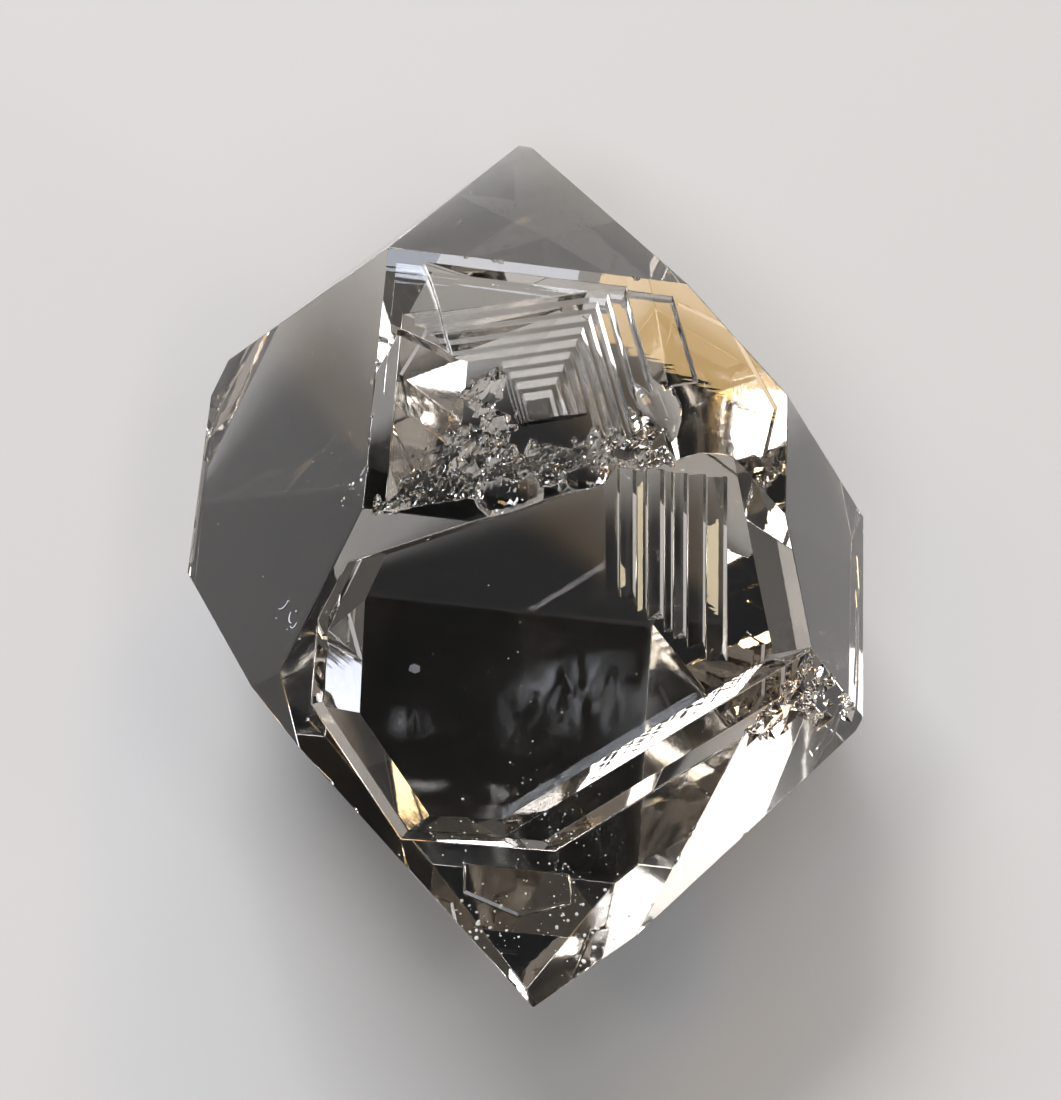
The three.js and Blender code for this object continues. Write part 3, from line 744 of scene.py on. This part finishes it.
def tube(path, normal, radius, sides):
    """Corners and faces of a tube along `path`: p + r (cos a * across + sin a * normal), where r
    is radius * sqrt(sin t) and t goes over nearly half a turn, so that both ends are narrow."""
    along = np.gradient(path, axis=0)
    across = np.cross(normal, along)
    across /= np.linalg.norm(across, axis=1, keepdims=True)
    angle = np.linspace(0, 2 * np.pi, sides, endpoint=False)
    half_turn = np.linspace(BLUNT_END, np.pi - BLUNT_END, len(path))
    taper = radius * np.sqrt(np.sin(half_turn))
    ring = across[:, None] * np.cos(angle)[:, None] + np.asarray(normal) * np.sin(angle)[:, None]
    corners = (path[:, None] + ring * taper[:, None, None]).reshape(-1, 3)
    row = np.arange(len(path) - 1)[:, None] * sides
    side = np.arange(sides)
    after = np.roll(side, -1)
    quads = np.stack([row + side, row + sides + side, row + sides + after, row + after], axis=-1)
    caps = [side.tolist(), (row[-1] + sides + side[::-1]).tolist()]
    return corners, quads.reshape(-1, 4).tolist() + caps


corners, faces = [], []
for (x, y), length, heading, bend in LINT_ARCS:
    point, normal = drop(x, y)
    turn = np.radians(heading + bend * np.linspace(0, 1, LINT_STEPS))
    side = normal.cross(Vector((0, 1, 0))).normalized()
    ahead = side.cross(normal)
    steps = np.cos(turn)[:, None] * np.array(side) + np.sin(turn)[:, None] * np.array(ahead)
    swept = np.cumsum(steps, axis=0) * length / LINT_STEPS
    path = np.array(point + normal * LINT_RADIUS) + swept
    rings, quads = tube(path, np.array(normal), LINT_RADIUS, LINT_SIDES)
    faces += [[number + len(corners) for number in quad] for quad in quads]
    corners += (rings * MM).tolist()
threads = new_object("lint", corners, faces, lint)
threads.data.polygons.foreach_set("use_smooth", np.ones(len(faces), bool))
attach(threads, "root")
print("lint:", len(faces), "faces")

# %% Milky quartz
FLAKE_GRAIN = 0.05 * MM

splinter, tree, output = new_material("quartz_flake")
place = add_node(tree, "ShaderNodeTexCoord")
cloud = add_node(
    tree, "ShaderNodeTexNoise", Vector=place.outputs["Object"], Scale=1 / FLAKE_GRAIN, Detail=2.0
)
greys = add_node(tree, "ShaderNodeValToRGB", Fac=cloud.outputs["Fac"])
greys.color_ramp.elements[0].color = linear("#7d8086")
greys.color_ramp.elements[1].color = linear("#b4b6ba")
milky = add_node(
    tree, "ShaderNodeBsdfPrincipled", Base_Color=greys.outputs["Color"], Roughness=0.35,
    IOR=QUARTZ_IOR, Transmission_Weight=0.5,
)
tree.links.new(milky.outputs[0], output.inputs["Surface"])

# %% Flake
# Where it lies, and its outline about its own middle, in mm.
FLAKE_SPOT = (-2.36, -4.33)
FLAKE_OUTLINE = [
    (-0.12, -0.06), (0.02, -0.11), (0.12, -0.05), (0.10, 0.06), (-0.02, 0.10), (-0.11, 0.05),
]
FLAKE_THICKNESS = 0.03
# The upper side is this much smaller than the lower one.
FLAKE_TOP = 0.9

point, normal = drop(*FLAKE_SPOT)
turn = np.array(normal.to_track_quat("Z", "Y").to_matrix())
outline = np.array([(*corner, 0.0) for corner in FLAKE_OUTLINE])
plate = np.concatenate([outline, outline * FLAKE_TOP + (0, 0, FLAKE_THICKNESS)])
below = np.arange(len(outline))
above = below + len(outline)
walls = np.stack([below, np.roll(below, -1), np.roll(above, -1), above], axis=1)
flake = new_object(
    "flake",
    ((np.array(point) + plate @ turn.T) * MM).tolist(),
    [below[::-1].tolist(), above.tolist(), *walls.tolist()],
    splinter,
)
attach(flake, "root")
print("flake:", len(flake.data.polygons), "faces")

# %% [markdown]
# ## Flaws inside
#
# Many Herkimer diamonds hold veils: cracks that opened while the crystal grew and healed again,
# full of tiny flat films of water and air. Each film reflects like a mirror, so together they
# look like thin smoke. A volume could scatter light like smoke, but light can't reach a volume
# inside glass quickly. So a veil is a gently waved sheet, a mirror with a rough finish, and
# mostly see-through, with its films drawn by a noise that is stretched along the old crack.

# %% Healed crack
# Real films are a few hundredths of a millimetre wide, so these are coarser, in order to show.
FILM_SIZE = 0.45 * MM
FILM_STRETCH = (1.0, 0.35, 1.0)
FILM_TURN = math.radians(-38)

veil, tree, output = new_material("healed_crack")
place = add_node(tree, "ShaderNodeTexCoord")
along = add_node(
    tree, "ShaderNodeMapping", Vector=place.outputs["Object"], Rotation=(0, 0, FILM_TURN),
    Scale=FILM_STRETCH,
)
films = add_node(
    tree, "ShaderNodeTexNoise", Vector=along.outputs["Vector"], Scale=1 / FILM_SIZE, Detail=5.0,
    Roughness=0.6, Distortion=0.5,
)
cover = add_node(
    tree, "ShaderNodeMapRange", Value=films.outputs["Fac"], From_Min=0.42, From_Max=0.72, To_Max=0.5
)
fade = add_node(tree, "ShaderNodeAttribute", {"attribute_name": "fade"})
mirror = add_node(
    tree, "ShaderNodeBsdfPrincipled", Base_Color=linear("#dfe7f5"), Metallic=1.0, Roughness=0.45,
    Alpha=operate(tree, "MULTIPLY", cover.outputs["Result"], fade.outputs["Fac"]),
)
tree.links.new(mirror.outputs[0], output.inputs["Surface"])

# %% Veils
VEIL_ROWS, VEIL_COLUMNS = 48, 64
VEIL_WAVES = 8
# How fast the veil fades towards its rim.
FADE_POWER = 1.5


def crack(name, middle, facing, turn, width, length, wave, seed):
    """A sheet over u, v in -1..1: middle + u * width / 2 * a + v * length / 2 * b + h * normal,
    where h is a sum of plane waves up to `wave` high. Its attribute 'fade' is 1 in the middle and
    0 at the rim: (1 - u^2)(1 - v^2) to the power of FADE_POWER."""
    rows, columns = np.linspace(-1, 1, VEIL_ROWS), np.linspace(-1, 1, VEIL_COLUMNS)
    u, v = np.meshgrid(rows, columns, indexing="ij")
    normal = Vector(facing).normalized()
    level = normal.to_track_quat("Z", "Y").to_matrix()
    axes = np.array(level @ Matrix.Rotation(math.radians(turn), 3, "Z"))
    flat = np.stack([u * width / 2, v * length / 2, 0 * u], axis=-1).reshape(-1, 3)
    flat[:, 2] = wave * plane_waves(flat, length / 2, VEIL_WAVES, seed) / 3
    here = np.arange(VEIL_ROWS - 1)[:, None] * VEIL_COLUMNS + np.arange(VEIL_COLUMNS - 1)
    next_row = here + VEIL_COLUMNS
    faces = np.stack([here, next_row, next_row + 1, here + 1], axis=-1).reshape(-1, 4)
    corners = (np.array(middle) + flat @ axes.T) * MM
    piece = new_object(name, corners.tolist(), faces.tolist(), veil)
    fade = ((1 - u**2) * (1 - v**2)) ** FADE_POWER
    piece.data.attributes.new("fade", "FLOAT", "POINT").data.foreach_set("value", fade.ravel())
    piece.data.polygons.foreach_set("use_smooth", np.ones(len(faces), bool))
    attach(piece, "root")
    print(name + ":", len(faces), "faces")
    return piece


# Name, middle in mm, the way it faces, its turn in degrees, width, length and wave in mm.
crack("veil_large", (1.1, -4.0, 7.3), (0.05, 0.05, 1.0), -30, 2.4, 4.2, 0.25, seed=5)
crack("veil_small", (-2.3, -4.9, 7.2), (0.3, 0.0, 1.0), 20, 0.9, 1.3, 0.10, seed=8)

# %% [markdown]
# ## The floor
#
# Clear glass shows what is round it, so the room is part of its looks. Here it is a plain pale
# paper that curves up at the rim, like a photographer's sweep turned all the way round, so that
# no edge of it is ever seen through the crystal. Its profile is a short list of points, and
# turning that list round the vertical axis makes the surface. A hair's width of air is left
# under the crystal: where two surfaces share one plane, a ray can't tell which it meets first.

# %% Paper
paper, tree, output = new_material("pale_paper")
matte = add_node(
    tree, "ShaderNodeBsdfPrincipled", Base_Color=linear("#b9b8b7"), Roughness=0.8, IOR=1.45
)
tree.links.new(matte.outputs[0], output.inputs["Surface"])

# %% Floor
# The paper is flat out to FLOOR_RADIUS. Inside FLOOR_MIDDLE its shading is exactly flat too.
FLOOR_MIDDLE = 0.05
FLOOR_RADIUS = 0.40
FLOOR_RISE = 0.25
FLOOR_SIDES = 96
AIR_GAP = 0.02 * MM


def turned(name, profile, segments, material):
    """Turns a profile of (radius, height) points round Z: x = r cos a, y = r sin a."""
    angle = np.linspace(0, 2 * np.pi, segments, endpoint=False)
    radius, height = np.array(profile).T
    x = radius[:, None] * np.cos(angle)
    y = radius[:, None] * np.sin(angle)
    z = np.repeat(height[:, None], segments, axis=1)
    ring = np.arange(segments)
    start = np.arange(len(radius) - 1)[:, None] * segments
    faces = np.stack([
        start + ring,
        start + np.roll(ring, -1),
        start + segments + np.roll(ring, -1),
        start + segments + ring,
    ], axis=-1).reshape(-1, 4)
    piece = new_object(name, np.stack([x, y, z], axis=-1).reshape(-1, 3), faces.tolist(), material)
    sculpt = bmesh.new()
    sculpt.from_mesh(piece.data)
    bmesh.ops.remove_doubles(sculpt, verts=sculpt.verts, dist=MERGE)
    sculpt.to_mesh(piece.data)
    sculpt.free()
    return piece


bend = np.linspace(0, np.pi / 2, 16)
profile = [(0.0, -AIR_GAP), (FLOOR_MIDDLE, -AIR_GAP)]
profile += [
    (FLOOR_RADIUS + FLOOR_RISE * math.sin(a), FLOOR_RISE * (1 - math.cos(a)) - AIR_GAP) for a in bend
]
floor = turned("floor", profile, FLOOR_SIDES, paper)
floor.data.polygons.foreach_set("use_smooth", np.ones(len(floor.data.polygons), bool))
floor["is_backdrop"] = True

# %% [markdown]
# ## The lights
#
# A crystal is lit by its reflections. A flat face is either white or dark: it is white where the
# mirror direction from the camera, bent once or twice inside the crystal, ends at a light. So
# each softbox is there for certain faces. One was moved round the crystal in steps first, and
# what it lit was noted for each position. Together they light the paper too, and because they
# stand on many sides, the crystal's shadow is soft.

# %% Room
# A faint grey from all round, so that nothing turns quite black.
world = bpy.data.worlds.new("studio")
world.use_nodes = True
world.node_tree.nodes["Background"].inputs["Color"].default_value = linear("#8f96a0")
world.node_tree.nodes["Background"].inputs["Strength"].default_value = 0.10
bpy.context.scene.world = world

# %% Softboxes
LIGHT_DISTANCE = 0.40


def softbox(name, azimuth, elevation, width, height, power, colour):
    """A rectangular area light that faces the crystal. Azimuth 0 is towards +Y, 90 towards +X."""
    data = bpy.data.lights.new(name, "AREA")
    data.shape = "RECTANGLE"
    data.size = width
    data.size_y = height
    data.energy = power
    data.color = linear(colour)[:3]
    light = bpy.data.objects.new(name, data)
    bpy.context.scene.collection.objects.link(light)
    turn, rise = math.radians(azimuth), math.radians(elevation)
    toward = Vector((
        math.sin(turn) * math.cos(rise),
        math.cos(turn) * math.cos(rise),
        math.sin(rise),
    ))
    centre = (low + high) / 2
    light.matrix_world = Matrix.Translation(centre + toward * LIGHT_DISTANCE) @ (
        toward.to_track_quat("Z", "Y").to_matrix().to_4x4()
    )
    return light


# %% Lights
# Each light: name, azimuth and elevation in degrees, width and height in metres, watts, colour.
LIGHTS = [
    # The large white flash low on the right, and the piece beside it at the near tip.
    ("back_left", 320, 53, 0.17, 0.11, 1.25, "#fbfcff"),
    ("tip", 341, 53, 0.07, 0.08, 0.20, "#fbfcff"),
    # The face to the right of the hopper, in gold, and the hopper's far rim and steps.
    ("gold", 22, 53, 0.08, 0.08, 0.20, "#ffd490"),
    ("rim", 0, 53, 0.08, 0.07, 0.13, "#e6eeff"),
    # The terrace's near rim, its bluish left wall and its right inner rim.
    ("far_low", 8, 17, 0.08, 0.08, 0.22, "#f4f7ff"),
    ("far_floor", 45, 5, 0.08, 0.08, 0.05, "#dfe8ff"),
    ("overhead", 240, 77, 0.08, 0.08, 0.18, "#f4f7ff"),
    # The paper, and soft light on everything.
    ("front", 202, 53, 0.15, 0.06, 0.52, "#eef3ff"),
    # The band to the right of the hopper, the terrace's right rim and its grooves.
    ("front_right", 158, 53, 0.08, 0.08, 0.09, "#fffaf0"),
    ("right", 135, 65, 0.08, 0.08, 0.15, "#ffffff"),
    # The grooves' warm streaks and the corner above them, and the terrace's left rim.
    ("right_low", 112, 17, 0.08, 0.08, 0.22, "#ffedc4"),
    ("left_warm", 248, 53, 0.08, 0.08, 0.12, "#ffe2b0"),
]
for light in LIGHTS:
    softbox(*light)
print("lights:", len(LIGHTS), "- watts in all:", round(sum(light[5] for light in LIGHTS), 2))

# %% [markdown]
# ## How the light is followed
#
# Inside the crystal light is reflected many times before it leaves, so many bounces are allowed,
# or those paths would end black. The light that the crystal gathers on the paper, its caustics,
# takes very long to come out clean, so it is left out, and the shadow is a plain one.

# %% Light paths
scene = bpy.context.scene
scene.view_settings.view_transform = "Standard"
scene.cycles.max_bounces = 32
scene.cycles.transmission_bounces = 32
scene.cycles.glossy_bounces = 16
scene.cycles.caustics_refractive = False
scene.cycles.caustics_reflective = False

# %% [markdown]
# ## Sizes
#
# Last, the box of everything that is seen is compared with the frame's box. The worn tip makes it
# a fifth of a millimetre shorter. Apart from that only the rubble, the edges and the dust
# differ, by a few hundredths of a millimetre.

# %% Sizes
visual_box = [list(corner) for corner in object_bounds()]
change = np.abs(np.array(cad_box) - visual_box).max() / MM
print("largest change of the box, mm:", round(float(change), 4))
